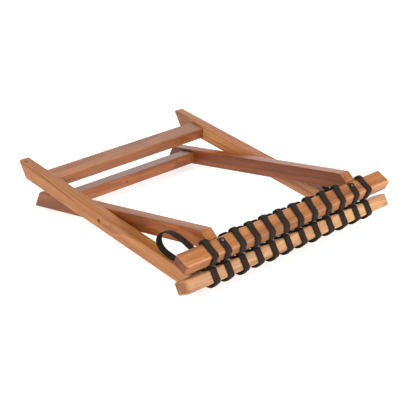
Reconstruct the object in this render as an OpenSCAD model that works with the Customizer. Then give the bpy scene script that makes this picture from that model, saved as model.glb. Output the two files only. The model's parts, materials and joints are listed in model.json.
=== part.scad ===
// Folding luggage rack, folded flat.
// X runs along the rails, Y from the rails (front) to the feet (back), Z up.
// The inner frame is drawn in its own leg frame: the pivot is the origin, +Y runs
// down the leg to the foot and +Z is the leg's rail side. The outer frame is the
// same profile mirrored, so both frames share every module below.

/* [Rails] */
// Length of a rail
rail_len = 550; // [480:5:620]
// Height of a rail's side face
rail_h = 36; // [34:1:40]
// Width of a rail's seat face
rail_w = 26; // [24:1:30]
// Rounding of a rail's long edges
rail_round = 5; // [3:0.5:6]
// Chamfer round a rail's ends
rail_chamfer = 3; // [1:0.5:4]
// Distance along the leg from the pivot to the rail's centre
rail_reach = 298.5; // [290:0.5:310]
// Distance of the rail's centre below the leg's centre line
rail_drop = 20.7; // [19:0.1:22]
// Tilt of the rail against its leg
rail_tilt = 35; // [33:0.5:37]

/* [Legs] */
// Width of a leg, seen from the side
leg_w = 34; // [30:1:38]
// Thickness of a leg
leg_t = 25; // [20:1:28]
// Rounding of a leg's long edges
leg_round = 2.5; // [1:0.5:4]
// Distance from the pivot to the long corner of the foot
foot_reach = 276; // [260:1:290]
// Where the bevel at the rail end starts, measured from the pivot
bevel_reach = 276; // [268:1:278]
// Distance of the outer legs' outer faces from the middle
outer_leg_x = 230; // [220:1:240]
// Room between an outer and an inner leg, filled by the spacer washer
leg_gap = 4; // [3:0.5:6]

/* [Fold] */
// Angle of each leg from the horizontal when folded
folded_angle = 8.4; // [8.2:0.1:9]
// Angle of each leg from the vertical when open, which is also the foot's cut
open_angle = 38; // [34:0.5:40]

/* [Stretchers] */
// Height of a stretcher, along the leg
stretcher_h = 41; // [34:1:46]
// Thickness of a stretcher, across the leg
stretcher_t = 24.5; // [20:0.5:28]
// Distance from the pivot to a stretcher's centre
stretcher_reach = 195; // [180:1:205]

/* [Straps] */
// Width of the webbing
strap_w = 15; // [12:0.5:18]
// Thickness of the webbing
strap_t = 2.5; // [2:0.1:2.8]
// Number of straps
strap_count = 12; // [12:1:12]
// Distance between the end straps' centre lines
strap_spread = 420; // [418:1:421]
// Distance from an end strap to the strap beside it
end_pitch = 35; // [33:0.5:37]
// Room between a strap's slack and the rails
strap_gap = 0.3; // [0.2:0.1:0.4]
// How far a strap end stops short of the rail's back edge where a leg is in its way
short_end = 6; // [5:0.5:8]

/* [Fasteners] */
// Diameter of a dowel
dowel_d = 8; // [6:1:10]
// Length of a dowel
dowel_len = 30; // [24:1:34]
// Diameter of the pivot bolt's shank
bolt_d = 6; // [5:0.5:8]
// Diameter of the pivot bolt's head
head_d = 9; // [8:0.5:12]
// Height of the pivot bolt's head
head_h = 3.5; // [3:0.5:5]
// Depth of the pocket that the head sits in
pocket_depth = 6; // [4:0.5:8]
// Radial running clearance of the bolt in the outer leg
running_gap = 0.05; // [0.02:0.01:0.1]
// Diameter of the insert in the inner leg that the bolt screws into
insert_d = 10; // [9:0.5:12]
// Length of the insert
insert_len = 16; // [12:1:20]
// Diameter of the spacer washer between the legs
spacer_d = 18; // [14:1:22]
// Diameter of a strap screw's washer
tack_washer_d = 9; // [8:0.5:10]
// Distance of a strap screw from the strap's end
tack_inset = 7; // [6:0.5:8]
// Thickness of a strap screw's washer
tack_washer_t = 0.8; // [0.6:0.1:1.2]
// Diameter of a strap screw's head
tack_head_d = 6; // [5:0.5:7]
// Height of a strap screw's domed head
tack_head_h = 1.8; // [1.5:0.1:2.4]
// Diameter of a strap screw's shank
tack_d = 3; // [2.5:0.5:4]
// Length of a strap screw under its head
tack_len = 9.5; // [8:0.5:9.5]

/* [Hidden] */
$fn = 48;
wood_light = "#c98a58";
wood_dark = "#a8683c";
webbing = "#2b2625";
black_metal = "#1d1d1f";
steel = "#b9bcc0";

inner_leg_x = outer_leg_x - leg_t - leg_gap;
half_w = leg_w / 2;
foot_slope = leg_w * tan(open_angle);

// Turns a point of the inner frame's side view into the folded rack, seen from the pivot
function folded(p) = [p[0] * cos(folded_angle) + p[1] * sin(folded_angle),
                      p[1] * cos(folded_angle) - p[0] * sin(folded_angle)];
// Turns a point of the rail's own section into the inner frame's side view
function on_rail(p) = [p[0] * cos(rail_tilt) - p[1] * sin(rail_tilt) - rail_reach,
                       p[0] * sin(rail_tilt) + p[1] * cos(rail_tilt) - rail_drop];
// The same point in the folded rack
function at_rail(p) = folded(on_rail(p));

// The feet and the bevels' low corners stand on the floor
pivot_z = foot_reach * sin(folded_angle) + half_w * cos(folded_angle);
back_y = folded([foot_reach, -half_w])[0];
front_corner = at_rail([rail_round - rail_h / 2, rail_w / 2 - rail_round]);
front_y = front_corner[0] - rail_round - strap_t;
pivot_y = -(back_y + front_y) / 2;

// Lines of the rail's section: the seat, the side and the back
seat = -rail_h / 2;
side = rail_w / 2;
back = rail_h / 2;
middle_pitch = (strap_spread - 2 * end_pitch) / (strap_count - 3);
function is_end(i) = i == 1 || i == strap_count;
function strap_x(i) =
    i == 1 ? -strap_spread / 2 :
    i == strap_count ? strap_spread / 2 :
    end_pitch - strap_spread / 2 + middle_pitch * (i - 2);
// Straps whose end meets a leg of the inner or of the outer frame
function blocked(i, leg_x) = abs(abs(strap_x(i)) - leg_x + leg_t / 2) < (leg_t + tack_washer_d) / 2;
// Where a strap end's screw stands on the side face and on the back face
tack_on_side = back - short_end - tack_inset;
tack_on_back = rail_round - side + tack_inset;

function strap_name(i) = str("strap_", i < 10 ? "0" : "", i);

// ---- placing ----

// The pivot's place in the rack
module at_pivot() {
    translate([0, pivot_y, pivot_z]) children();
}

module inner_frame() {
    at_pivot() rotate([-folded_angle, 0, 0]) children();
}

module outer_frame() {
    at_pivot() mirror([0, 0, 1]) rotate([-folded_angle, 0, 0]) children();
}

// The rail's own section, X to Y, inside a frame
module in_rail() {
    translate([0, -rail_reach, -rail_drop]) rotate([rail_tilt, 0, 0]) children();
}

// A side view drawn in 2D, as thick as its width says, centred on x
module slab(x, width) {
    translate([x - width / 2, 0, 0]) rotate([90, 0, 90]) linear_extrude(width) children();
}

module rounded_rect(w, h, r) {
    square([w - 2 * r, h], center = true);
    square([w, h - 2 * r], center = true);
    for (x = [-1, 1], y = [-1, 1])
        translate([x * (w / 2 - r), y * (h / 2 - r)]) circle(r);
}

// A rod along X that starts at x and points the way that its side says
module rod_x(x, side_sign, length, d) {
    translate([side_sign > 0 ? x : x - length, 0, 0]) rotate([0, 90, 0]) cylinder(length, d = d);
}

// ---- wood ----

module leg_profile() {
    bevel_end = on_rail([back, side]);
    back_dir = [-sin(rail_tilt), cos(rail_tilt)];
    corner = on_rail([back, -side]);
    low_end = corner + back_dir * ((-half_w - corner[1]) / back_dir[1]);
    polygon([
        [foot_reach, -half_w], [foot_reach - foot_slope, half_w],
        [-bevel_reach, half_w], bevel_end, low_end
    ]);
}

// One leg, with its outer face at leg_x, on the side that side_sign says
module leg(leg_x, side_sign) {
    x = side_sign * (leg_x - leg_t / 2);
    intersection() {
        slab(x, leg_t) leg_profile();
        translate([x, foot_reach, 0]) rotate([90, 0, 0])
            linear_extrude(2 * rail_reach) rounded_rect(leg_t, leg_w, leg_round);
    }
}

module rail_blank() {
    in_rail() intersection() {
        slab(0, rail_len) rounded_rect(rail_h, rail_w, rail_round);
        translate([0, 0, -rail_w]) linear_extrude(2 * rail_w) chamfered(rail_len, rail_h);
        translate([0, rail_h, 0]) rotate([90, 0, 0])
            linear_extrude(2 * rail_h) chamfered(rail_len, rail_w);
    }
}

// A rectangle with its four corners cut off
module chamfered(w, h) {
    c = rail_chamfer;
    polygon([
        [-w / 2 + c, -h / 2], [w / 2 - c, -h / 2], [w / 2, -h / 2 + c], [w / 2, h / 2 - c],
        [w / 2 - c, h / 2], [-w / 2 + c, h / 2], [-w / 2, h / 2 - c], [-w / 2, -h / 2 + c]
    ]);
}

// ---- dowels ----

// The two dowels from each leg into the rail's back face
module rail_dowels(leg_x) {
    color(wood_light) for (s = [-1, 1], k = [-1, 1])
        in_rail() translate([s * (leg_x - leg_t / 2) + k * leg_t / 4, back - dowel_len / 2, 2])
            rotate([-90, 0, 0]) cylinder(dowel_len, d = dowel_d);
}

// The two dowels from each leg into the stretcher's end
module stretcher_dowels(leg_x) {
    color(wood_light) for (s = [-1, 1], k = [-1, 1])
        translate([s * (leg_x - leg_t), stretcher_reach + k * stretcher_h / 4, 0])
            rotate([0, 90, 0]) cylinder(dowel_len, d = dowel_d, center = true);
}

// ---- pivot ----

module pivot_bolt(s) {
    shank_len = leg_t - pocket_depth + leg_gap + insert_len;
    color(steel) {
        rod_x(s * (outer_leg_x - pocket_depth), s, head_h, head_d);
        rod_x(s * (outer_leg_x - pocket_depth), -s, shank_len, bolt_d);
    }
}

module spacer_washer(s) {
    color(steel) difference() {
        rod_x(s * (outer_leg_x - leg_t), -s, leg_gap - 2 * running_gap, spacer_d);
        rod_x(s * outer_leg_x, -s, leg_t + leg_gap, bolt_d + 2 * running_gap);
    }
}

// The insert is glued into a blind hole in the inner leg's outer face
module pivot_insert(s) {
    color(steel) difference() {
        rod_x(s * inner_leg_x, -s, insert_len, insert_d);
        rod_x(s * (inner_leg_x + 1), -s, insert_len + 2, bolt_d);
    }
}

// ---- straps ----

// A hook-shaped side view of webbing that hugs the rail's section
module wrap_profile(short) {
    tall = rail_w + 2 * strap_t;
    wide = rail_h + 2 * strap_t;
    low = -side + rail_round;
    difference() {
        intersection() {
            rounded_rect(wide, tall, rail_round + strap_t);
            translate([-wide / 2, low]) square([short ? wide - strap_t - short_end : wide, tall]);
        }
        rounded_rect(rail_h, rail_w, rail_round);
    }
}

module wrap(i, leg_x) {
    short = blocked(i, leg_x);
    color(webbing) in_rail() difference() {
        slab(strap_x(i), strap_w) wrap_profile(short);
        tack_place(i, short) translate([0, 0, -tack_len]) cylinder(3 * tack_len, d = tack_d);
    }
}

// The spot on the rail where a strap's end is screwed down, +Z out of the wood
module tack_place(i, short) {
    if (short)
        translate([strap_x(i), tack_on_side, side + strap_t]) children();
    else
        translate([strap_x(i), back + strap_t, tack_on_back]) rotate([-90, 0, 0]) children();
}

module tack_places(leg_x) {
    for (i = [1 : strap_count]) in_rail() tack_place(i, blocked(i, leg_x)) children();
}

module tack_shank() {
    translate([0, 0, tack_washer_t - tack_len]) cylinder(tack_len, d = tack_d);
}

module strap_screws(leg_x) {
    head_r = (pow(tack_head_d / 2, 2) + pow(tack_head_h, 2)) / (2 * tack_head_h);
    color(steel) tack_places(leg_x) {
        tack_shank();
        intersection() {
            translate([0, 0, tack_washer_t]) cylinder(tack_head_h, d = tack_head_d);
            translate([0, 0, tack_washer_t + tack_head_h - head_r]) sphere(head_r);
        }
    }
}

module strap_washers(leg_x) {
    color(black_metal) tack_places(leg_x) difference() {
        cylinder(tack_washer_t, d = tack_washer_d);
        translate([0, 0, -1]) cylinder(tack_washer_t + 2, d = tack_d);
    }
}

// Round the rail's inner front edge and along its inner face, seen from the pivot
inner_edge = [rail_round - rail_h / 2, rail_round - rail_w / 2];
edge_r = rail_round + strap_t / 2 + strap_gap;
edge_route = [for (a = [185 : 17 : 270]) at_rail(inner_edge + edge_r * [cos(a), sin(a)])];
wedge_end = at_rail([back - 4, -side - strap_t / 2 - strap_gap]);

// Slack behind the rails, seen from the pivot, chosen by hand. The end straps' slack lies
// in a round loop on the outer legs, the next straps' stays under the inner legs, and the
// others' stands up close behind the inner rail before it drops to the floor
loop_on_leg = [
    [-258, 27], [-240, 34], [-222, 39], [-205, 39], [-190, 33], [-181, 21], [-179, 9],
    [-185, -1], [-197, -8], [-214, -12.3], [-232, -15.3], [-250, -18], [-264, -19.9]
];
loop_under_leg = [
    [-262, 16], [-248, 9], [-234, -3], [-222, -18], [-211, -33], [-201, -43], [-192, -46.5],
    [-186, -46.5], [-182, -49], [-182, -53], [-186, -55.6], [-200, -55.6], [-216, -53.5],
    [-232, -47], [-246, -37], [-259, -27]
];
loop_behind_rail = [
    [-273.5, 19.5], [-271, 24], [-270, 28], [-267, 29.8], [-263, 28], [-260, 24],
    [-257.5, 18], [-255, 9], [-252, -2], [-247, -15], [-239, -27], [-228, -37], [-214, -44],
    [-202, -46.5], [-196, -46.5], [-192, -49], [-192, -53], [-196, -55.6], [-210, -55.6],
    [-225, -53.5], [-239, -47.5], [-252, -38], [-264, -27.5]
];
function loop(i) =
    is_end(i) ? loop_on_leg :
    blocked(i, inner_leg_x) ? loop_under_leg :
    loop_behind_rail;

function mirrored(route) = [for (k = [len(route) - 1 : -1 : 0]) [route[k][0], -route[k][1]]];
function span_route(i) = concat(
    edge_route, [wedge_end], loop(i),
    mirrored([wedge_end]), mirrored(edge_route)
);

function unit(v) = v / norm(v);
function left_of(v) = [-v[1], v[0]];
// The mitred offset of a route's point to its left
function offset_point(route, k, d) =
    let (last = len(route) - 1,
         before = unit(route[max(k, 1)] - route[max(k, 1) - 1]),
         after = unit(route[min(k, last - 1) + 1] - route[min(k, last - 1)]),
         middle = unit(left_of(before) + left_of(after)))
    route[k] + middle * d / (middle * left_of(before));

// Webbing seen edge on, half its thickness to each side of the route
module ribbon(route) {
    last = len(route) - 1;
    polygon(concat(
        [for (k = [0 : last]) offset_point(route, k, strap_t / 2)],
        [for (k = [last : -1 : 0]) offset_point(route, k, -strap_t / 2)]
    ));
}

// ---- nodes ----

module outer_leg(s) {
    color(wood_dark) outer_frame() difference() {
        leg(outer_leg_x, s);
        rod_x(s * (outer_leg_x + 1), -s, leg_t + 2, bolt_d + 2 * running_gap);
        rod_x(s * (outer_leg_x - pocket_depth), s, pocket_depth + 1, head_d + 1);
        rail_dowels(outer_leg_x);
        stretcher_dowels(outer_leg_x);
    }
}

module inner_leg(s) {
    color(wood_dark) inner_frame() difference() {
        leg(inner_leg_x, s);
        rod_x(s * (inner_leg_x + 1), -s, insert_len + 1, insert_d);
        rail_dowels(inner_leg_x);
        stretcher_dowels(inner_leg_x);
    }
}

module rail(leg_x) {
    color(wood_light) difference() {
        rail_blank();
        rail_dowels(leg_x);
        tack_places(leg_x) tack_shank();
    }
}

module stretcher(leg_x) {
    color(wood_dark) difference() {
        slab(0, 2 * (leg_x - leg_t)) translate([stretcher_reach, 0])
            rounded_rect(stretcher_h, stretcher_t, leg_round);
        stretcher_dowels(leg_x);
    }
}

module span(i) {
    color(webbing) at_pivot() slab(strap_x(i), strap_w) ribbon(span_route(i));
}

outer_leg(-1);  // outer_leg_left
outer_leg(1);  // outer_leg_right
inner_leg(-1);  // inner_leg_left
inner_leg(1);  // inner_leg_right
outer_frame() rail(outer_leg_x);  // outer_rail
inner_frame() rail(inner_leg_x);  // inner_rail
outer_frame() stretcher(outer_leg_x);  // outer_stretcher
inner_frame() stretcher(inner_leg_x);  // inner_stretcher
outer_frame() rail_dowels(outer_leg_x);  // outer_rail_dowels
inner_frame() rail_dowels(inner_leg_x);  // inner_rail_dowels
outer_frame() stretcher_dowels(outer_leg_x);  // outer_stretcher_dowels
inner_frame() stretcher_dowels(inner_leg_x);  // inner_stretcher_dowels
inner_frame() pivot_bolt(-1);  // pivot_bolt_left
inner_frame() pivot_bolt(1);  // pivot_bolt_right
outer_frame() spacer_washer(-1);  // spacer_washer_left
outer_frame() spacer_washer(1);  // spacer_washer_right
inner_frame() pivot_insert(-1);  // pivot_insert_left
inner_frame() pivot_insert(1);  // pivot_insert_right
outer_frame() strap_screws(outer_leg_x);  // outer_strap_screws
inner_frame() strap_screws(inner_leg_x);  // inner_strap_screws
outer_frame() strap_washers(outer_leg_x);  // outer_strap_washers
inner_frame() strap_washers(inner_leg_x);  // inner_strap_washers
for (i = [1 : strap_count]) {
    outer_frame() wrap(i, outer_leg_x);
    inner_frame() wrap(i, inner_leg_x);
    span(i);
}
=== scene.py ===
"""The looks of the folding luggage rack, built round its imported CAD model, in metres."""
import json
import math
import random

import bmesh
import bpy
from mathutils import Matrix, Vector


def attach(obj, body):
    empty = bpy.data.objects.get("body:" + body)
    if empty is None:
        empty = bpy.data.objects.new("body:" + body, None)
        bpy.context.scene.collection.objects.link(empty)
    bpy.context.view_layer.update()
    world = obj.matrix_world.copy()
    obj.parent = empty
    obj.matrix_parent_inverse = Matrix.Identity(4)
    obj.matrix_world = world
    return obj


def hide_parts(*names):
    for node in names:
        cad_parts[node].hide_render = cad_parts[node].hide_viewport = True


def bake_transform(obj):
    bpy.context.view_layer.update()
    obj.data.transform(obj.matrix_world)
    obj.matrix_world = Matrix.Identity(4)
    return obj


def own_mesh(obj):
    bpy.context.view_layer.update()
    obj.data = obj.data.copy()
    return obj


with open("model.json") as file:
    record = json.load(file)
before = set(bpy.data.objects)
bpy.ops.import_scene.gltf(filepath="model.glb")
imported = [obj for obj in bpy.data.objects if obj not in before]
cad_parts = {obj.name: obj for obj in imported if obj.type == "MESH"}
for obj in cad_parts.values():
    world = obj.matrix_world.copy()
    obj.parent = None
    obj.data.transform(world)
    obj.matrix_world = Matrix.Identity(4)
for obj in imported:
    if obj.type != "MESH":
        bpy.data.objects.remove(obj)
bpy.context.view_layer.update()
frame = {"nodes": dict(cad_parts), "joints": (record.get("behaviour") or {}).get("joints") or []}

# Millimetres in the scene's metres, as a factor and as a transform
MM = 0.001
SCALE = Matrix.Diagonal((MM, MM, MM, 1))

# ---- sizes that the CAD source also holds, in millimetres and radians ----

FOLDED = math.radians(8.4)
RAIL_TILT = math.radians(35)
RAIL_REACH = 298.5
RAIL_DROP = 20.7
RAIL_H = 36
RAIL_W = 26
RAIL_ROUND = 5
LEG_W = 34
LEG_ROUND = 2.5
STRETCHER_H = 41
STRETCHER_T = 24.5
STRETCHER_REACH = 195
STRAP_W = 15
STRAP_T = 2.5
STRAP_GAP = 0.3
STRAP_SPREAD = 420
END_PITCH = 35
STRAPS = range(1, 13)
SHORT_END = 6
TACK_INSET = 7
TACK_D = 3
TACK_LEN = 9.5
OUTER_LEG_X = 230
INNER_LEG_X = 201
LEG_T = 25
POCKET = 6
BOLT_D = 6
BOLT_LEN = 39
BOLT_HEAD_D = 9
BOLT_HEAD_H = 3.5
FOLD = frame["joints"][0]
PIVOT = Vector(FOLD["pos_m"])
HALF_TURN = math.radians(FOLD["range_deg"][1]) / 2

# The routes of the slack behind the rails, as Y and Z from the pivot. The first is for straps 1
# and 12, the second for 2 and 11, and the third for those between.
LOOP_ON_LEG = [
    (-258, 27), (-240, 36), (-222, 42), (-205, 42.5), (-190, 36.5), (-180, 24), (-178, 11),
    (-184, 0.5), (-197, -7), (-214, -11.5), (-232, -13), (-250, -15.5), (-264, -18.5),
]
LOOP_UNDER_LEG = [
    (-262, 16), (-248, 9), (-234, -3), (-222, -18), (-211, -33), (-201, -43), (-192, -46.5),
    (-186, -46.5), (-182, -49), (-182, -53), (-186, -55.6), (-200, -55.6), (-216, -53.5),
    (-232, -47), (-246, -37), (-259, -27),
]
LOOP_BEHIND_RAIL = [
    (-273, 19.5), (-274, 25), (-275, 30), (-272, 32.8), (-266, 31.5), (-261, 26),
    (-257.5, 19), (-255, 9), (-252, -2), (-247, -15), (-239, -27), (-228, -37), (-214, -44),
    (-202, -46.5), (-196, -46.5), (-192, -49), (-192, -53), (-196, -55.6), (-210, -55.6),
    (-225, -51.5), (-238, -43), (-250, -33), (-262, -24.5),
]

# ---- camera, floor and light ----

CAMERA_AT = Vector((-1.4406, -1.6644, 0.9871))
CAMERA_AZIMUTH = math.radians(-41.60)
CAMERA_ELEVATION = math.radians(23.73)
CAMERA_ROLL = math.radians(-1.88)
CAMERA_LENS = 99.3
CAMERA_SENSOR = 36

FLOOR_REACH = 30
FLOOR_GREY = (0.5, 0.49, 0.48, 1)
FLOOR_GLOW = 0.72
AMBIENT_WHITE = (1, 0.995, 0.985, 1)
AMBIENT = 0.42

# The point that the lights turn about, and each light: its name, azimuth, elevation, distance,
# size, power and colour
LIT_POINT = Vector((0, 0, 0.05))
LIGHTS = [
    ("key_left", -68, 42, 2.2, 1.5, 36, (1, 0.99, 0.97)),
    ("front_right", 24, 22, 3.2, 1.5, 60, (1, 1, 1)),
    ("behind", 138, 17, 2.6, 1.6, 12, (1, 1, 1)),
]


def link_object(name, data):
    item = bpy.data.objects.new(name, data)
    bpy.context.scene.collection.objects.link(item)
    return item


def add_camera():
    data = bpy.data.cameras.new("camera")
    data.lens = CAMERA_LENS
    data.sensor_width = CAMERA_SENSOR
    cam = link_object("camera", data)
    turn = (
        Matrix.Rotation(CAMERA_AZIMUTH, 4, "Z")
        @ Matrix.Rotation(math.pi / 2 - CAMERA_ELEVATION, 4, "X")
        @ Matrix.Rotation(CAMERA_ROLL, 4, "Z")
    )
    cam.matrix_world = Matrix.Translation(CAMERA_AT) @ turn
    bpy.context.scene.camera = cam


def add_floor():
    r = FLOOR_REACH
    mesh = bpy.data.meshes.new("floor")
    mesh.from_pydata([(-r, -r, 0), (r, -r, 0), (r, r, 0), (-r, r, 0)], [], [(0, 1, 2, 3)])
    floor = link_object("floor", mesh)
    white = new_material("floor_white")
    inputs = Nodes(white).shader.inputs
    inputs["Base Color"].default_value = FLOOR_GREY
    inputs["Roughness"].default_value = 0.9
    inputs["Specular IOR Level"].default_value = 0.1
    inputs["Emission Color"].default_value = (1, 1, 1, 1)
    inputs["Emission Strength"].default_value = FLOOR_GLOW
    mesh.materials.append(white)


def add_light(name, azimuth, elevation, distance, size, power, colour):
    """A soft box that looks at the rack from that side."""
    data = bpy.data.lights.new(name, "AREA")
    data.shape = "SQUARE"
    data.size = size
    data.energy = power
    data.color = colour
    light = link_object(name, data)
    light.visible_camera = False
    a, e = math.radians(azimuth), math.radians(elevation)
    back = Vector((math.sin(a) * math.cos(e), -math.cos(a) * math.cos(e), math.sin(e)))
    light.location = LIT_POINT + back * distance
    light.rotation_mode = "QUATERNION"
    light.rotation_quaternion = back.to_track_quat("Z", "Y")


def add_world():
    world = bpy.data.worlds.new("studio")
    bpy.context.scene.world = world
    world.use_nodes = True
    background = world.node_tree.nodes["Background"]
    background.inputs["Color"].default_value = AMBIENT_WHITE
    background.inputs["Strength"].default_value = AMBIENT


# ---- materials ----


def new_material(name):
    material = bpy.data.materials.new(name)
    material.use_nodes = True
    shader = material.node_tree.nodes["Principled BSDF"]
    shader.name = "shader"
    return material


class Nodes:
    """Short calls for building one material's node tree."""

    def __init__(self, material):
        self.tree = material.node_tree
        self.shader = self.tree.nodes["shader"]

    def add(self, kind, **inputs):
        node = self.tree.nodes.new(kind)
        for key, value in inputs.items():
            self.put(node, key.replace("_", " "), value)
        return node

    def put(self, node, key, value):
        if isinstance(value, bpy.types.NodeSocket):
            self.tree.links.new(value, node.inputs[key])
        else:
            node.inputs[key].default_value = value

    def link(self, source, node, key):
        self.tree.links.new(source, node.inputs[key])

    def math(self, operation, a, b=0.0, c=0.0):
        node = self.tree.nodes.new("ShaderNodeMath")
        node.operation = operation
        for i, value in enumerate((a, b, c)):
            self.put(node, i, value)
        return node.outputs[0]

    def vector(self, operation, a, b):
        node = self.tree.nodes.new("ShaderNodeVectorMath")
        node.operation = operation
        for i, value in enumerate((a, b)):
            self.put(node, i, value)
        return node.outputs[0]

    def between(self, value, low, high):
        """0 up to low, 1 from high on, and smooth in between."""
        node = self.tree.nodes.new("ShaderNodeMapRange")
        node.interpolation_type = "SMOOTHSTEP"
        self.tree.links.new(value, node.inputs["Value"])
        node.inputs["From Min"].default_value = low
        node.inputs["From Max"].default_value = high
        return node.outputs[0]

    def mix(self, share, a, b, blend="MIX"):
        """Blender's Mix node, whose sockets for colours are 6 and 7."""
        node = self.tree.nodes.new("ShaderNodeMix")
        node.data_type = "RGBA"
        node.blend_type = blend
        for i, value in ((0, share), (6, a), (7, b)):
            self.put(node, i, value)
        return node.outputs[2]

    def ramp(self, value, stops):
        node = self.tree.nodes.new("ShaderNodeValToRGB")
        self.tree.links.new(value, node.inputs[0])
        elements = node.color_ramp.elements
        while len(elements) < len(stops):
            elements.new(0.5)
        for element, (at, colour) in zip(elements, stops):
            element.position = at
            element.color = (*colour, 1)
        return node.outputs[0]

    def bump(self, height, strength, distance):
        node = self.add("ShaderNodeBump", Strength=strength, Distance=distance)
        self.link(height, node, "Height")
        return node.outputs[0]


def scaled(n, point, x, y, z):
    """The point with each axis stretched, so that the pattern is finer along it."""
    node = n.add("ShaderNodeMapping")
    n.link(point, node, "Vector")
    node.inputs["Scale"].default_value = (x, y, z)
    return node.outputs[0]


class Member:
    """One straight piece of wood: where its middle is, how it lies and how big it is."""

    def __init__(self, centre, turn, along_x, half, edge_round):
        self.centre = centre
        self.turn = (turn, 0, 0 if along_x else -math.pi / 2)
        self.half = half
        self.edge_round = edge_round

    def own(self, n, vector, from_centre):
        """The vector in the member's own axes, X down the grain."""
        if from_centre:
            vector = n.vector("SUBTRACT", vector, self.centre)
        node = n.add("ShaderNodeMapping")
        n.link(vector, node, "Vector")
        node.inputs["Rotation"].default_value = self.turn
        return node.outputs[0]

    def edge(self, n, point):
        """1 along the rounded long edges, 0 on the faces."""
        a, b = self.half
        r = self.edge_round
        start = (a + b - r) / math.sqrt(2) * MM
        crest = ((a + b - 2 * r) / math.sqrt(2) + r) * MM
        parts = n.add("ShaderNodeSeparateXYZ")
        n.link(point, parts, "Vector")
        y, z = (n.math("ABSOLUTE", part) for part in parts.outputs[1:3])
        outward = n.math("MULTIPLY", n.math("ADD", y, z), 1 / math.sqrt(2))
        return n.between(outward, start + 0.3 * (crest - start), crest)


def mark_mask(n, point, centre, half, slope):
    """1 in the middle of a mark and 0 outside it. Marks are dark streaks, knots and patches of
    painted shade. Sizes are in millimetres.
    """
    moved = n.vector("SUBTRACT", point, [c * MM for c in centre])
    parts = n.add("ShaderNodeSeparateXYZ")
    n.link(moved, parts, "Vector")
    up = n.math("MULTIPLY_ADD", parts.outputs[0], -slope, parts.outputs[2])
    total = 0.0
    for value, size in ((parts.outputs[0], half[0]), (parts.outputs[1], half[1]), (up, half[2])):
        share = n.math("MULTIPLY", value, 1 / (size * MM))
        total = n.math("MULTIPLY_ADD", share, share, total)
    return n.between(total, 1.0, 0.15)


AS_IT_IS = (1, 1, 1)
TEAK_DARK = (0.262, 0.090, 0.028)
TEAK_MIDDLE = (0.42, 0.160, 0.055)
TEAK_LIGHT = (0.57, 0.255, 0.100)
VEIN = (0.55, 0.44, 0.38)
PORE = (0.45, 0.38, 0.33)
# The marks' colour: dark streaks and knots, and painted shade.
STREAK_AND_SHADE = (0.34, 0.24, 0.19, 1)
# The paler edges' colour: wear of the wood and a painted highlight.
EDGE_WEAR_AND_HIGHLIGHT = (1.45, 1.6, 1.75, 1)


def noise(n, vector, detail, roughness):
    node = n.add("ShaderNodeTexNoise", Scale=1.0, Detail=detail, Roughness=roughness)
    n.link(vector, node, "Vector")
    return node


def growth_rings(n, vector):
    node = n.add("ShaderNodeTexWave", Scale=46.0, Distortion=5.0, Detail=3.0)
    node.inputs["Detail Scale"].default_value = 0.8
    node.wave_type = "RINGS"
    node.rings_direction = "X"
    node.wave_profile = "SAW"
    n.link(vector, node, "Vector")
    return node.outputs["Fac"]


def facing(n, part):
    """1 where that part of the normal is nearly 1, so on one side of the piece of wood."""
    return n.between(part, 0.6, 0.95)


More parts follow.
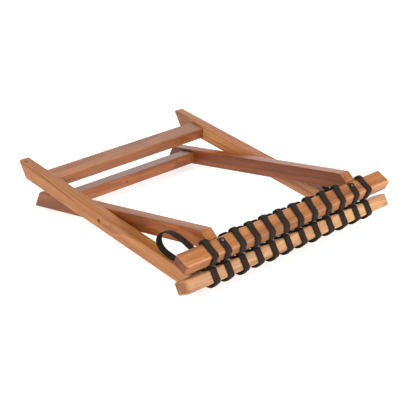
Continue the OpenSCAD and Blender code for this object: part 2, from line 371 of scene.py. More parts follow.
def teak(
    name, member, offset, tint, marks=(), gloss=0.08,
    end_tint=AS_IT_IS, top_light_and_shade_tint=AS_IT_IS, side_light_and_shade_tint=AS_IT_IS,
):
    """Oiled teak: uneven rings round a far pith, fibres, pores, dark streaks and knots, patches of
    painted shade, and paler edges that are wear and a painted highlight. offset picks the member's
    own part of the grain, in metres. tint multiplies the whole colour, and the other three that of
    its ends, its top and its own +Y side; on the top and the side they are painted light and shade."""
    material = new_material(name)
    n = Nodes(material)
    coords = n.add("ShaderNodeTexCoord")
    place = member.own(n, coords.outputs["Object"], True)
    point = n.vector("ADD", place, offset)

    waver = noise(n, scaled(n, point, 4, 20, 20), 2.0, 0.5)
    shift = n.vector("MULTIPLY", waver.outputs["Color"], (0.0, 0.022, 0.022))
    warped = n.vector("ADD", point, shift)
    rings = growth_rings(n, scaled(n, warped, 0.1, 1, 1))
    broad = noise(n, scaled(n, warped, 3.0, 42, 42), 2.0, 0.5).outputs["Fac"]
    fibre = noise(n, scaled(n, warped, 10, 320, 320), 4.0, 0.65).outputs["Fac"]
    pores = noise(n, scaled(n, point, 60, 1700, 1700), 1.0, 0.4).outputs["Fac"]
    veins = noise(n, scaled(n, warped, 2.2, 110, 110), 2.0, 0.4).outputs["Fac"]

    value = n.math("MULTIPLY", rings, 0.16)
    value = n.math("MULTIPLY_ADD", broad, 0.62, value)
    value = n.math("MULTIPLY_ADD", fibre, 0.40, value)
    dark, middle, light = (
        tuple(c * t for c, t in zip(colour, tint))
        for colour in (TEAK_DARK, TEAK_MIDDLE, TEAK_LIGHT)
    )
    colour = n.ramp(value, [(0.40, dark), (0.60, middle), (0.80, light)])
    vein = n.ramp(veins, [(0.27, VEIN), (0.38, AS_IT_IS)])
    colour = n.mix(0.4, colour, vein, "MULTIPLY")
    pore = n.ramp(pores, [(0.28, PORE), (0.42, AS_IT_IS)])
    colour = n.mix(0.55, colour, pore, "MULTIPLY")
    # Paler rounded edges, in patches: wear of the wood and a painted highlight along the edges.
    edge_wear_and_highlight = n.math("MULTIPLY", member.edge(n, place), n.between(broad, 0.3, 0.6))
    colour = n.mix(n.math("MULTIPLY", edge_wear_and_highlight, 0.6), colour, EDGE_WEAR_AND_HIGHLIGHT, "MULTIPLY")

    normal = n.add("ShaderNodeSeparateXYZ")
    n.link(member.own(n, coords.outputs["Normal"], False), normal, "Vector")
    along, side, up = normal.outputs
    end = facing(n, n.math("ABSOLUTE", along))
    colour = n.mix(end, colour, (*end_tint, 1), "MULTIPLY")
    # Painted light and shade: the top and the +Y side made lighter or darker by how light falls on
    # them.
    for part, light_and_shade_tint in ((up, top_light_and_shade_tint), (side, side_light_and_shade_tint)):
        if light_and_shade_tint != AS_IT_IS:
            colour = n.mix(facing(n, part), colour, (*light_and_shade_tint, 1), "MULTIPLY")
    for centre, half, slope, strength in marks:
        mask = n.math("MULTIPLY", mark_mask(n, place, centre, half, slope), strength)
        colour = n.mix(mask, colour, STREAK_AND_SHADE, "MULTIPLY")
    n.link(colour, n.shader, "Base Color")

    rough = n.math("MULTIPLY_ADD", fibre, 0.22, 0.33)
    n.link(n.math("MULTIPLY_ADD", end, 0.2, rough), n.shader, "Roughness")
    height = n.math("MULTIPLY_ADD", pores, 0.6, fibre)
    n.link(n.bump(height, 0.3, 0.0005), n.shader, "Normal")
    n.shader.inputs["Specular IOR Level"].default_value = 0.38
    n.shader.inputs["Coat Weight"].default_value = gloss
    n.shader.inputs["Coat Roughness"].default_value = 0.28
    return material


def metal(name, colour, roughness):
    """Metal with fine scratches across Z."""
    material = new_material(name)
    n = Nodes(material)
    place = n.add("ShaderNodeTexCoord").outputs["Object"]
    scratches = n.add("ShaderNodeTexNoise", Scale=1.0, Detail=3.0)
    n.link(scaled(n, place, 900, 900, 2600), scratches, "Vector")
    darker = tuple(c * 0.7 for c in colour)
    n.link(n.ramp(scratches.outputs["Fac"], [(0.3, darker), (0.7, colour)]), n.shader, "Base Color")
    n.link(n.math("MULTIPLY_ADD", scratches.outputs["Fac"], 0.2, roughness), n.shader, "Roughness")
    n.shader.inputs["Metallic"].default_value = 1.0
    n.link(n.bump(scratches.outputs["Fac"], 0.15, 0.0002), n.shader, "Normal")
    return material


# The ribs that run along the webbing, and how far apart its threads are, in metres. The twill's
# two distances are across the webbing and along it.
RIBS = 5
PICK = 0.0011
TWILL = (0.0013, 0.0022)
WEBBING_DARK = (0.007, 0.005, 0.0037)
WEBBING_LIGHT = (0.037, 0.0235, 0.0165)
# The webbing's edges are darkened by this: painted shade.
EDGE_SHADE = (0.35, 0.33, 0.32, 1)


def webbing(name):
    """Dark webbing: the ribs are in the mesh, and the threads across them are here, with
    painted shade in the grooves between the ribs and along the edges.
    """
    material = new_material(name)
    n = Nodes(material)
    place = n.add("ShaderNodeUVMap").outputs[0]
    parts = n.add("ShaderNodeSeparateXYZ")
    n.link(place, parts, "Vector")
    across, along = parts.outputs[:2]
    picks = n.math("SINE", n.math("MULTIPLY", along, 2 * math.pi / PICK))
    slant = n.math("MULTIPLY", along, 2 * math.pi / TWILL[1])
    twill = n.math("SINE", n.math("MULTIPLY_ADD", across, 2 * math.pi / TWILL[0], slant))
    fuzz = n.add("ShaderNodeTexNoise", Scale=1400.0, Detail=3.0)
    n.link(place, fuzz, "Vector")
    patches = n.add("ShaderNodeTexNoise", Scale=60.0, Detail=2.0)
    n.link(place, patches, "Vector")
    threads = n.math("MULTIPLY_ADD", picks, 0.25, n.math("MULTIPLY", twill, 0.25))
    value = n.math("MULTIPLY_ADD", threads, 0.5, 0.25)
    value = n.math("MULTIPLY_ADD", fuzz.outputs["Fac"], 0.5, value)
    value = n.math("MULTIPLY_ADD", patches.outputs["Fac"], 0.35, value)
    colour = n.ramp(value, [(0.25, WEBBING_DARK), (0.95, WEBBING_LIGHT)])
    # Painted shade: darker in the grooves between the ribs.
    rib = n.math("COSINE", n.math("MULTIPLY", across, 2 * math.pi * RIBS / (STRAP_W * MM)))
    groove_shade = n.math("MULTIPLY_ADD", rib, 0.2, 0.8)
    colour = n.mix(1.0, colour, n.ramp(groove_shade, [(0, (0, 0, 0)), (1, (1, 1, 1))]), "MULTIPLY")
    width = STRAP_W * MM
    # Painted shade: darker along the webbing's edges.
    edge = n.between(n.math("ABSOLUTE", across), 0.36 * width, 0.48 * width)
    colour = n.mix(edge, colour, EDGE_SHADE, "MULTIPLY")
    n.link(colour, n.shader, "Base Color")
    n.shader.inputs["Roughness"].default_value = 0.8
    n.shader.inputs["Specular IOR Level"].default_value = 0.22
    n.shader.inputs["Sheen Weight"].default_value = 0.03
    n.shader.inputs["Sheen Roughness"].default_value = 0.4
    height = n.math("MULTIPLY_ADD", fuzz.outputs["Fac"], 0.4, threads)
    n.link(n.bump(height, 0.5, 0.00025), n.shader, "Normal")
    return material


def melted(name):
    """The black, glossy end of webbing that was cut with heat."""
    material = new_material(name)
    n = Nodes(material)
    place = n.add("ShaderNodeUVMap").outputs[0]
    lumps = n.add("ShaderNodeTexNoise", Scale=700.0, Detail=2.0)
    n.link(place, lumps, "Vector")
    colour = n.ramp(
        lumps.outputs["Fac"], [(0.3, (0.004, 0.004, 0.004)), (0.7, (0.014, 0.012, 0.011))]
    )
    n.link(colour, n.shader, "Base Color")
    n.link(n.math("MULTIPLY_ADD", lumps.outputs["Fac"], 0.3, 0.15), n.shader, "Roughness")
    n.link(n.bump(lumps.outputs["Fac"], 0.5, 0.0004), n.shader, "Normal")
    return material


# ---- side-view geometry: points are (Y, Z) in millimetres, seen from the pivot ----


def folded(p):
    c, s = math.cos(FOLDED), math.sin(FOLDED)
    return (p[0] * c + p[1] * s, p[1] * c - p[0] * s)


def at_rail(p):
    """A point of the rail's own section, on the inner rail of the folded rack."""
    c, s = math.cos(RAIL_TILT), math.sin(RAIL_TILT)
    return folded((p[0] * c - p[1] * s - RAIL_REACH, p[0] * s + p[1] * c - RAIL_DROP))


def mirrored(route):
    return [(y, -z) for y, z in reversed(route)]


def arc(centre, radius, first, last, count):
    """Points of an arc, with both ends, its angles in degrees."""
    angles = [math.radians(first + (last - first) * k / count) for k in range(count + 1)]
    return [(centre[0] + radius * math.cos(a), centre[1] + radius * math.sin(a)) for a in angles]


def lengths(route):
    """The distance along the route to each of its points."""
    total, found = 0.0, [0.0]
    for a, b in zip(route, route[1:]):
        total += math.dist(a, b)
        found.append(total)
    return found


def rounded(route, times):
    """The route with its corners cut, over and over, so that it runs smoothly."""
    for _ in range(times):
        cut = [route[0]]
        for a, b in zip(route, route[1:]):
            cut.append(tuple(0.75 * p + 0.25 * q for p, q in zip(a, b)))
            cut.append(tuple(0.25 * p + 0.75 * q for p, q in zip(a, b)))
        route = [*cut, route[-1]]
    return route


def spaced(route, step):
    """Points along the route, a step apart or a little less."""
    along = lengths(route)
    count = max(2, math.ceil(along[-1] / step))
    found, k = [], 0
    for i in range(count + 1):
        s = along[-1] * i / count
        while k < len(along) - 2 and along[k + 1] < s:
            k += 1
        share = (s - along[k]) / max(along[k + 1] - along[k], 1e-9)
        found.append(tuple(p + share * (q - p) for p, q in zip(route[k], route[k + 1])))
    return found


# ---- webbing meshes ----

RIB_DEPTH = 0.22
POINTS_PER_RIB = 6


def section(width):
    """One turn round the cross-section of webbing of thickness 1: ribs, round edges."""
    count = RIBS * POINTS_PER_RIB
    top = []
    for k in range(count + 1):
        u = k / count * 2 - 1
        edge = (1 - abs(u) ** 5) ** 0.5
        rib = 1 - RIB_DEPTH * (0.5 + 0.5 * math.cos(math.pi * RIBS * (u + 1)))
        top.append((u * width / 2, edge * rib / 2))
    bottom = [(u, -v) for u, v in reversed(top[1:-1])]
    return top + bottom


def ribbon(name, route, xs, width=STRAP_W, thick=None, melted_from=math.inf, move=None):
    """Webbing along a side-view route, with its middle at xs and thick at each point.
    It is melted from that far along it. move maps each point to its place."""
    thick = thick or [STRAP_T] * len(route)
    ring = section(width)
    points = [Vector((x, p[0], p[1])) for x, p in zip(xs, route)]
    along = lengths([tuple(p) for p in points])
    last = len(points) - 1
    mesh = bmesh.new()
    uv = mesh.loops.layers.uv.new("UVMap")
    rings = []
    for k, p in enumerate(points):
        tangent = (points[min(k + 1, last)] - points[max(k - 1, 0)]).normalized()
        across = Vector((1, 0, 0))
        across = (across - tangent * across.dot(tangent)).normalized()
        out = across.cross(tangent)
        spots = [p + across * u + out * v * thick[k] for u, v in ring]
        if move:
            spots = [move(s) for s in spots]
        rings.append([mesh.verts.new(s * MM + PIVOT) for s in spots])
    for k in range(last):
        for j in range(len(ring)):
            j2 = (j + 1) % len(ring)
            face = mesh.faces.new((rings[k][j], rings[k + 1][j], rings[k + 1][j2], rings[k][j2]))
            face.smooth = True
            face.material_index = int(along[k + 1] > melted_from)
            for loop, (a, b) in zip(face.loops, ((k, j), (k + 1, j), (k + 1, j2), (k, j2))):
                loop[uv].uv = (ring[b][0] * MM, along[a] * MM)
    for k, order in ((0, 1), (last, -1)):
        face = mesh.faces.new(rings[k][::order])
        face.material_index = int(along[k] > melted_from)
        for loop in face.loops:
            loop[uv].uv = (0, along[k] * MM)
    bmesh.ops.recalc_face_normals(mesh, faces=mesh.faces)
    data = bpy.data.meshes.new(name)
    mesh.to_mesh(data)
    mesh.free()
    piece = link_object(name, data)
    data.materials.append(WEBBING)
    data.materials.append(MELTED)
    return piece


# ---- the straps ----

# The faces of a rail in its own section, and how low the webbing reaches on them
SEAT = -RAIL_H / 2
SIDE = RAIL_W / 2
BACK = RAIL_H / 2
LOW = RAIL_ROUND - SIDE
MID = STRAP_T / 2
WRAP_T = 3.0
WRAP_MID = WRAP_T / 2
EDGE_ARC = (RAIL_ROUND + WRAP_MID) * math.pi / 2
EDGE_STEPS = 8

# How far the straps stray along X from their places in the CAD model: at the inner rail's front
# edge, most in the middle of the row, from there to its back edge, and on the outer rail
FRONT_STRAY = -8
BACK_STRAY = 7
BACK_FAN = 0.018
END_BACK_STRAY = 1
OUTER_TOP_STRAY = 1.5
OUTER_LOW_STRAY = 2.5


def cad_x(i):
    """The strap's place along the rails. The end straps stand apart from the even row."""
    if i in (1, 12):
        return math.copysign(STRAP_SPREAD / 2, i - 6)
    pitch = (STRAP_SPREAD - 2 * END_PITCH) / 9
    return END_PITCH - STRAP_SPREAD / 2 + pitch * (i - 2)


DRAW = random.Random(7)


class Strap:
    """Where one strap runs. The middle ones lean to the left over the inner rail's edge."""

    def __init__(self, i):
        self.i = i
        self.name = f"strap_{i:02d}"
        x = cad_x(i)
        inward = 1 - (x / (STRAP_SPREAD / 2)) ** 2
        self.x_gap = x
        self.x_front = x + FRONT_STRAY * inward
        self.x_back = self.x_front + (BACK_STRAY + BACK_FAN * x if 1 < i < 12 else END_BACK_STRAY)
        self.x_top = x + OUTER_TOP_STRAY
        self.x_low = x + OUTER_LOW_STRAY
        self.slackness = DRAW.uniform(0.85, 1.15)
        self.inner_short = i in (2, 11)
        self.outer_short = i in (1, 12)


def wrap_route(short):
    """Over the seat, the side and the back of a rail, in the rail's own section."""
    r = RAIL_ROUND + WRAP_MID
    corner = RAIL_ROUND - RAIL_H / 2
    top = SIDE - RAIL_ROUND
    route = [(SEAT - WRAP_MID, LOW), (SEAT - WRAP_MID, 0)]
    route += arc((corner, top), r, 180, 90, EDGE_STEPS)
    route.append((0, SIDE + WRAP_MID))
    if short:
        return [*route, (BACK - SHORT_END, SIDE + WRAP_MID)]
    route += arc((-corner, top), r, 90, 0, EDGE_STEPS)
    return [*route, (BACK + WRAP_MID, 0), (BACK + WRAP_MID, LOW)]


def bow_heights(route, bows):
    """How far the webbing bulges at each point: each bow is where along it, how far, how wide."""
    return [
        sum(h * math.exp(-(((s - at) / wide) ** 2)) for at, h, wide in bows) for s in lengths(route)
    ]


def lifted(route, heights):
    """The route, moved off the wood to its left by those heights."""
    last = len(route) - 1
    found = []
    for k, (u, v) in enumerate(route):
        a, b = route[max(k - 1, 0)], route[min(k + 1, last)]
        share = heights[k] / math.dist(a, b)
        found.append((u - (b[1] - a[1]) * share, v + (b[0] - a[0]) * share))
    return found


def wrap_xs(route, low, edge, back):
    """The strap's middle at each point of a wrap, which leans between the rail's edges."""
    marks = [(LOW - SIDE, low), (0, edge), (RAIL_H, back), (RAIL_H + RAIL_W, back)]
    xs = []
    for p in route:
        if p[1] < SIDE - RAIL_ROUND and p[0] < 0:
            s = p[1] - SIDE
        elif p[1] < SIDE - RAIL_ROUND:
            s = RAIL_H + SIDE - p[1]
        else:
            s = p[0] - SEAT
        for (s0, x0), (s1, x1) in zip(marks, marks[1:]):
            if s <= s1:
                break
        xs.append(x0 + (x1 - x0) * min(1, max(0, (s - s0) / (s1 - s0))))
    return xs


def smoothed(values, times):
    """The values, each drawn towards its neighbours, over and over."""
    for _ in range(times):
        middle = [(a + 2 * b + c) / 4 for a, b, c in zip(values, values[1:], values[2:])]
        values = [values[0], *middle, values[-1]]
    return values


# How far along a wrap the parts of the rail lie
SEAT_RUN = SIDE - RAIL_ROUND - LOW
FRONT_EDGE_AT = SEAT_RUN + EDGE_ARC / 2
SIDE_RUN = RAIL_H - 2 * RAIL_ROUND
SIDE_MIDDLE_AT = SEAT_RUN + EDGE_ARC + SIDE_RUN / 2
BACK_EDGE_AT = SEAT_RUN + EDGE_ARC * 1.5 + SIDE_RUN

# How far the webbing bulges there, and how wide the bulge is
FRONT_BULGE = (0.8, 8)
OUTER_SIDE_BULGE = (5.8, 11)
INNER_BACK_BULGE = (4.6, 9)

# How much of a wrap is melted at a short strap's end and at a long one's
MELTED_END = 9
CUT_END = 2
WRAP_STEP = 1.6


def add_wraps(strap):
    """The webbing round the two rails, screwed down at its ends."""
    for body, short, xs in (
        ("inner", strap.inner_short, (strap.x_gap, strap.x_front, strap.x_back)),
        ("outer", strap.outer_short, (strap.x_top, strap.x_low, strap.x_low)),
    ):
        section_route = spaced(wrap_route(short), WRAP_STEP)
        middle = smoothed(wrap_xs(section_route, *xs), 4)
        bulges = [(FRONT_EDGE_AT, FRONT_BULGE)]
        if body == "outer":
            bulges.append((SIDE_MIDDLE_AT, OUTER_SIDE_BULGE))
        elif not short:
            bulges.append((BACK_EDGE_AT - 1, INNER_BACK_BULGE))
        bows = [(at, height * strap.slackness, wide) for at, (height, wide) in bulges]
        bulge = bow_heights(section_route, bows)
        section_route = lifted(section_route, [h / 2 for h in bulge])
        thick = [WRAP_T + h for h in bulge]
        end = lengths(section_route)[-1] - (MELTED_END if short else CUT_END)
        route = [at_rail(p) for p in section_route]
        if body == "outer":
            route = [(y, -z) for y, z in route]
        name = f"{strap.name}_{body}_wrap"
        piece = ribbon(f"{name}_webbing", route, middle, thick=thick, melted_from=end)
        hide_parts(name)
        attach(piece, f"{body}_frame")


# How far short of a rail's back edge the slack leaves its inner face
LEAVES_AT = 4


def gap_route():
    """Round the inner rail's inner front edge and back along its inner face."""
    r = RAIL_ROUND + MID + STRAP_GAP
    edge = (RAIL_ROUND - RAIL_H / 2, RAIL_ROUND - RAIL_W / 2)
    end = (BACK - LEAVES_AT, -SIDE - MID - STRAP_GAP)
    start = (SEAT - MID, LOW)
    return [at_rail(p) for p in [start, *arc(edge, r, 190, 270, EDGE_STEPS), end]]


# Where a wrap ends on the inner rail's seat, and the slack and the strand start
SEAT_END = at_rail((SEAT - MID, LOW))

# The open rack's straps lie in a plane that faces this way
FLAT = Vector((0, math.cos(HALF_TURN), math.sin(HALF_TURN)))

# How far a strap's slack leans along X for each millimetre that it stands out from that plane
MIDDLE_LEAN = -0.13
END_LEANS = {1: -0.125, 12: 0.06}

# The height of strap 12's loop as a share of strap 1's
LOW_LOOP = 0.78

# The slack is a little narrower than the wraps, so that no faces coincide where they meet
SLACK_W = STRAP_W - 0.4
SLACK_STEP = 2.6


def add_slack(strap):
    """The slack behind the rails, which the real rack has only when folded. The piece stays on the
    inner frame.
    """
    if strap.i == 1:
        loop = LOOP_ON_LEG
    elif strap.i == 12:
        loop = [(y, z * (LOW_LOOP if z > 0 else 1)) for y, z in LOOP_ON_LEG]
    elif strap.inner_short:
        loop = LOOP_UNDER_LEG
    else:
        loop = LOOP_BEHIND_RAIL
    route = [*gap_route(), *loop, *mirrored(gap_route())]
    route = spaced(rounded(route, 2), SLACK_STEP)
    along = lengths(route)
    slope = END_LEANS.get(strap.i, MIDDLE_LEAN)
    start = Vector((0, *SEAT_END))
    xs = []
    for s, p in zip(along, route):
        out = (Vector((0, *p)) - start).dot(FLAT)
        xs.append(strap.x_gap + (strap.x_top - strap.x_gap) * s / along[-1] + slope * out)
    piece = ribbon(f"{strap.name}_slack", route, xs, SLACK_W)
    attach(piece, "inner_frame")
    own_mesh(piece)
    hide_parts(f"{strap.name}_span")


# Half the height over which a strand passes from one frame to the other
REACH_BEND = 3.0
HALVINGS = 60
STRAND_STEPS = 60


def to_rest(spot):
    """Where a point of the open, straight strap lies in the folded rack."""
    reach = math.hypot(spot.y, spot.z)
    angle = math.atan2(spot.z, -spot.y)

    def share(z):
        t = min(1, max(0, (z + REACH_BEND) / (2 * REACH_BEND)))
        return t * t * (3 - 2 * t)

    low, high = -reach, reach
    for _ in range(HALVINGS):
        z = (low + high) / 2
        if z < reach * math.sin(angle - (2 * share(z) - 1) * HALF_TURN):
            low = z
        else:
            high = z
    turned = angle - (2 * share(z) - 1) * HALF_TURN
    return Vector((spot.x, -reach * math.cos(turned), reach * math.sin(turned)))


def add_strand(strap):
    """The strap between the rails, made straight from rail to rail as in the open rack, then
    moved to where it lies in the folded rack.
    """
    reach = math.hypot(*SEAT_END)
    angle = math.atan2(SEAT_END[1], -SEAT_END[0]) + HALF_TURN
    y, z = -reach * math.cos(angle), reach * math.sin(angle)
    steps = range(STRAND_STEPS + 1)
    route = [(y, z * (1 - 2 * k / STRAND_STEPS)) for k in steps]
    xs = [strap.x_gap + (strap.x_top - strap.x_gap) * k / STRAND_STEPS for k in steps]
    piece = ribbon(f"{strap.name}_strand", route, xs, move=to_rest)
    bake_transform(piece)


# ---- screws and bolts ----

WASHER_R = 4.6
WASHER_H = 1.5
SCREW_HEAD_R = 2.7
SCREW_HEAD_RISE = 1.7
SCREW_RIM = WASHER_H * 0.6
SHARP_FROM = math.radians(40)

# The tools' recesses: the length and half width of a cross's arms, and half a hexagon's width
CROSS_ARM = 1.7
CROSS_HALF = 0.42
CROSS_DEPTH = 1.1
HEX_HALF = 2.0
HEX_DEPTH = 2.0


def add_turned(mesh, profile, place, segments=48, recess=None):
    """A solid turned about Z. Its profile runs from the axis round to the axis, or is a ring.
    recess says how deep the tool's recess is at a point of the top."""
    rings = []
    for r, z in profile:
        if r == 0:
            depth = recess(0, 0) if recess and not rings else 0
            rings.append([mesh.verts.new(place @ Vector((0, 0, z - depth)))])
            continue
        ring = []
        for k in range(segments):
            a = 2 * math.pi * k / segments
            x, y = r * math.cos(a), r * math.sin(a)
            depth = recess(x, y) if recess else 0
            ring.append(mesh.verts.new(place @ Vector((x, y, z - depth))))
        rings.append(ring)
    pairs = list(zip(rings, rings[1:]))
    if profile[0][0] > 0:
        pairs.append((rings[-1], rings[0]))
    for a, b in pairs:
        for k in range(segments):
            k2 = (k + 1) % segments
            corners = [a[k % len(a)], b[k % len(b)], b[k2 % len(b)], a[k2 % len(a)]]
            face = mesh.faces.new(list(dict.fromkeys(corners)))
            face.smooth = True


def cross_recess(x, y):
    """How deep a cross-head screw's recess is, less so towards the ends of its arms."""
    depth = 0.0
    for a, b in ((abs(x), abs(y)), (abs(y), abs(x))):
        if a < CROSS_ARM and b < CROSS_HALF:
            depth = max(depth, CROSS_DEPTH * (1 - 0.55 * a / CROSS_ARM))
    return depth


def hex_recess(x, y):
    """How deep a socket-head bolt's recess is."""
    across = max(abs(x * math.cos(a) + y * math.sin(a)) for a in (0, math.pi / 3, 2 * math.pi / 3))
    return HEX_DEPTH if across < HEX_HALF else 0.0


def dome(radius, height, step):
    """From the crown down to the rim of a domed head, finely enough to hold a recess."""
    ball = (radius**2 + height**2) / (2 * height)
    count = math.ceil(radius / step)
    spots = [radius * k / count for k in range(count + 1)]
    return [(r, math.sqrt(ball**2 - r**2) - ball + height) for r in spots]


def finish_metal(name, mesh, material):
    """The piece made of that mesh, with its edges sharp and the rest smooth."""
    bmesh.ops.recalc_face_normals(mesh, faces=mesh.faces)
    data = bpy.data.meshes.new(name)
    mesh.to_mesh(data)
    mesh.free()
    data.materials.append(material)
    data.set_sharp_from_angle(angle=SHARP_FROM)
    piece = link_object(name, data)
    return piece


def screw_profile():
    """A dome-headed screw through the webbing. Z = 0 is the webbing's face."""
    rim, shank, tip = SCREW_RIM, TACK_D / 2, WRAP_T - TACK_LEN
    head = [(r, z + rim) for r, z in dome(SCREW_HEAD_R, SCREW_HEAD_RISE, 0.2)]
    return [*head, (SCREW_HEAD_R, rim - 0.4), (shank, rim - 0.7), (shank, tip + 1.5), (0, tip)]


def washer_profile():
    """A cupped finishing washer."""
    return [
        (WASHER_R, 0), (WASHER_R, 0.35), (WASHER_R - 0.5, 0.9), (SCREW_HEAD_R + 0.5, WASHER_H),
        (SCREW_HEAD_R + 0.15, WASHER_H), (SCREW_HEAD_R - 0.5, 0.5), (TACK_D / 2 + 0.1, 0),
    ]


def tack_place(strap, body):
    """The strap screw's place on the webbing, +Z out of the wood, in the shared frame."""
    short = strap.inner_short if body == "inner" else strap.outer_short
    x = strap.x_back if body == "inner" else strap.x_low
    if short:
        spot, out = (BACK - SHORT_END - TACK_INSET, SIDE + WRAP_T), (0, 1)
    else:
        spot, out = (BACK + WRAP_T, LOW + TACK_INSET), (1, 0)
    if body == "inner" and short:
        x = strap.x_front + (strap.x_back - strap.x_front) * (spot[0] - SEAT) / RAIL_H
    base = at_rail(spot)
    tip = at_rail((spot[0] + out[0], spot[1] + out[1]))
    flip = 1 if body == "inner" else -1
    axis = Vector((0, tip[0] - base[0], flip * (tip[1] - base[1])))
    turn = axis.to_track_quat("Z", "X").to_matrix().to_4x4()
    at = PIVOT + Vector((x, base[0], flip * base[1])) * MM
    twist = Matrix.Rotation(DRAW.uniform(0, math.pi), 4, "Z")
    return Matrix.Translation(at) @ turn @ twist @ SCALE


def add_tacks(straps, body):
    """The screws and washers at the straps' ends on one frame's rail, as two pieces."""
    screws, washers = bmesh.new(), bmesh.new()
    for strap in straps:
        place = tack_place(strap, body)
        add_turned(screws, screw_profile(), place, recess=cross_recess)
        add_turned(washers, washer_profile(), place)
    for kind, mesh, material, slot in (
        ("screws", screws, DARK_STEEL, "steel"), ("washers", washers, BLACK, "black_metal"),
    ):
        piece = finish_metal(f"{body}_strap_{kind}_crossed", mesh, material)
        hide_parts(f"{body}_strap_{kind}")
        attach(piece, f"{body}_frame")


def add_pivot_bolt(side, sign):
    """A button-head socket bolt at the bottom of its pocket."""
    mesh = bmesh.new()
    head_r, shank = BOLT_HEAD_D / 2, BOLT_D / 2
    head = dome(head_r, BOLT_HEAD_H * 0.6, 0.25)
    profile = [(r, z + BOLT_HEAD_H * 0.4) for r, z in head]
    profile += [(head_r, 0), (shank, 0), (shank, 1 - BOLT_LEN)]
    profile += [(shank - 1, -BOLT_LEN), (0, -BOLT_LEN)]
    at = PIVOT + Vector((sign * (OUTER_LEG_X - POCKET), 0, 0)) * MM
    place = Matrix.Translation(at) @ Matrix.Rotation(sign * math.pi / 2, 4, "Y") @ SCALE
    add_turned(mesh, profile, place, recess=hex_recess)
    piece = finish_metal(f"pivot_bolt_{side}_socket_head", mesh, STEEL)
    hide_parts(f"pivot_bolt_{side}")
    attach(piece, "inner_frame")


# ---- put together ----

add_camera()
add_world()
add_floor()
for light in LIGHTS:
    add_light(*light)
bpy.context.scene.view_settings.view_transform = "Standard"

WEBBING = webbing("webbing")
MELTED = melted("webbing_melted_end")
STEEL = metal("steel", (0.66, 0.66, 0.67), 0.22)
DARK_STEEL = metal("dark_steel", (0.30, 0.30, 0.31), 0.12)
BLACK = metal("black_oxide", (0.03, 0.03, 0.032), 0.32)


def leg_member(x, turn):
    """A leg, its X down the leg towards the feet."""
    return Member(PIVOT + Vector((x, 0, 0)) * MM, turn, False, (LEG_T / 2, LEG_W / 2), LEG_ROUND)


def rail_member(flip):
    y, z = at_rail((0, 0))
    centre = PIVOT + Vector((0, y, flip * z)) * MM
    turn = flip * (FOLDED - RAIL_TILT)
    return Member(centre, turn, True, (RAIL_H / 2, RAIL_W / 2), RAIL_ROUND)


def stretcher_member(flip):
    y, z = folded((STRETCHER_REACH, 0))
    centre = PIVOT + Vector((0, y, flip * z)) * MM
    half = (STRETCHER_H / 2, STRETCHER_T / 2)
    return Member(centre, flip * FOLDED, True, half, LEG_ROUND)


OUTER_X = OUTER_LEG_X - LEG_T / 2
INNER_X = INNER_LEG_X - LEG_T / 2
LEG_FACE = LEG_T / 2
STRETCHER_FACE = -STRETCHER_H / 2

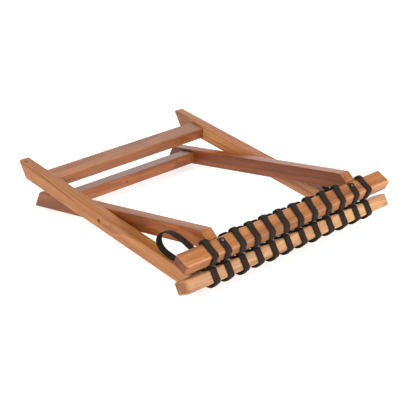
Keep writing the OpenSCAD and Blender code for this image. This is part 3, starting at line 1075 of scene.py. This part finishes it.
# Each member's offset, tint and marks. A mark is its middle and its half size, both along,
# across and up, then its slope and its strength. Some marks are dark streaks and knots in
# the wood, and some are patches of painted shade.
WOOD = {
    "outer_leg_left": teak(
        "teak_outer_leg_left", leg_member(-OUTER_X, -FOLDED), (0.11, 0.3, 0.06), (0.92, 0.86, 0.60),
        [((138, LEG_FACE, 11), (84, 9, 2.2), 0.05, 0.9), ((262, 4, LEG_W / 2), (7, 4, 4), 0, 0.9)],
    ),
    # The outer right leg's side tint lightens its shaded +Y side: painted light. Its mark darkens
    # the feet's end of that side.
    "outer_leg_right": teak(
        "teak_outer_leg_right", leg_member(OUTER_X, -FOLDED), (0.52, 0.1, 0.09), (0.95, 0.85, 0.72),
        [((265, LEG_FACE, 0), (100, 8, 50), 0, 0.6)], side_light_and_shade_tint=(1.2, 1.42, 1.6),
    ),
    # The inner left leg's two marks darken its +Y side where the outer leg shades it, and its top
    # tint darkens its top: painted shade.
    "inner_leg_left": teak(
        "teak_inner_leg_left", leg_member(-INNER_X, FOLDED), (0.83, 0.7, 0.07), (0.83, 0.60, 0.30),
        [((230, LEG_FACE, 0), (190, 8, 40), 0, 0.45), ((-70, LEG_FACE, 0), (80, 8, 40), 0, 0.45)],
        gloss=0.0, end_tint=(1.1, 1.95, 4.2), top_light_and_shade_tint=(0.8, 0.8, 0.85),
    ),
    # The inner right leg's top tint lightens its top: painted sheen. Its marks darken a thin band
    # near the pivot and the feet's end of its +Y side.
    "inner_leg_right": teak(
        "teak_inner_leg_right", leg_member(INNER_X, FOLDED), (0.05, 1.1, 0.08), (0.52, 0.31, 0.18),
        [((-60, LEG_FACE, 0), (3, 6, 14), 0, 0.25), ((250, LEG_FACE, 0), (110, 8, 50), 0, 0.45)],
        end_tint=(2.14, 4.3, 7.0), top_light_and_shade_tint=(1.56, 1.75, 1.6),
    ),
    # The outer rail's tint pales the whole rail: its wood tone and a painted sheen of its seat. Its
    # end tint darkens its ends.
    "outer_rail": teak(
        "teak_outer_rail", rail_member(-1), (0.3, 0.5, 0.06), (1.12, 1.38, 1.46),
        end_tint=(0.62, 0.52, 0.46),
    ),
    "inner_rail": teak(
        "teak_inner_rail", rail_member(1), (1.3, 0.06, 0.7), (0.90, 0.88, 0.80),
        end_tint=(0.475, 0.33, 0.27),
    ),
    # The outer stretcher's top tint lightens its top: painted sheen.
    "outer_stretcher": teak(
        "teak_outer_stretcher", stretcher_member(-1), (0.7, 0.06, 1.2), (0.66, 0.50, 0.25),
        [((-178, STRETCHER_FACE, -3), (24, 4, 2.4), 0.1, 0.8)],
        gloss=0.4, top_light_and_shade_tint=(1.08, 1.15, 1.3),
    ),
    # The inner stretcher's top tint darkens its top, most in blue: painted shade.
    "inner_stretcher": teak(
        "teak_inner_stretcher", stretcher_member(1), (2.1, 0.9, 0.07), (0.66, 0.50, 0.36),
        [((-23, STRETCHER_FACE, -1), (6, 3, 3), 0, 0.9)], top_light_and_shade_tint=(0.95, 0.85, 0.6),
    ),
}


def paint(node, material):
    """Gives a node of the CAD model that material in place of its own."""
    mesh = frame["nodes"][node].data
    mesh.materials.clear()
    mesh.materials.append(material)


DOWEL = teak(
    "dowel_beech", Member(PIVOT, 0, True, (1, 1), 0), (0.4, 0.2, 0.3), (1.3, 1.5, 1.8)
)
for node in frame["nodes"]:
    if node in WOOD:
        paint(node, WOOD[node])
    elif "dowels" in node:
        paint(node, DOWEL)
    elif not node.startswith("strap_"):
        paint(node, STEEL)

straps = [Strap(i) for i in STRAPS]
for strap in straps:
    add_wraps(strap)
    add_slack(strap)
    add_strand(strap)
for body in ("inner", "outer"):
    add_tacks(straps, body)
add_pivot_bolt("left", -1)
add_pivot_bolt("right", 1)
